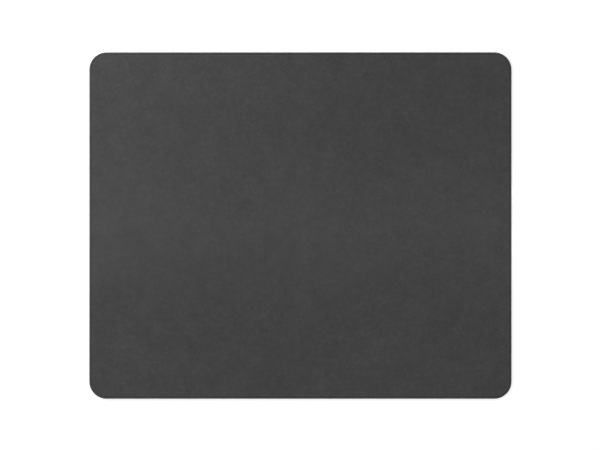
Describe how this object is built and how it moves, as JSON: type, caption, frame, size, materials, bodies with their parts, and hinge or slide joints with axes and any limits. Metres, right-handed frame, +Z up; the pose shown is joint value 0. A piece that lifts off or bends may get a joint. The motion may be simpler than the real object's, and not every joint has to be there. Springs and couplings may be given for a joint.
{
  "type": "mouse pad",
  "caption": "Thin rounded-rectangle mouse pad: grey knit cloth face bonded to a black sponge rubber base with wavy anti-slip grooves underneath.",
  "frame": {"origin": "on the desk plane, under the middle of the pad", "axes": "+X along the long side to the user's right, +Y along the short side away from the user, +Z up through the cloth face"},
  "size_m": [0.22, 0.1806, 0.002],
  "materials": {
    "black_rubber": "matt closed-cell sponge rubber, moulded ribs below and a cut edge",
    "set_adhesive": "thin set hot-melt adhesive, slightly satin",
    "grey_knit": "fine matt polyester knit in neutral mid-dark grey"
  },
  "bodies": {
    "root": {"rubber_base": "black_rubber", "adhesive_film": "set_adhesive", "cloth_face": "grey_knit"}
  },
  "joints": []
}
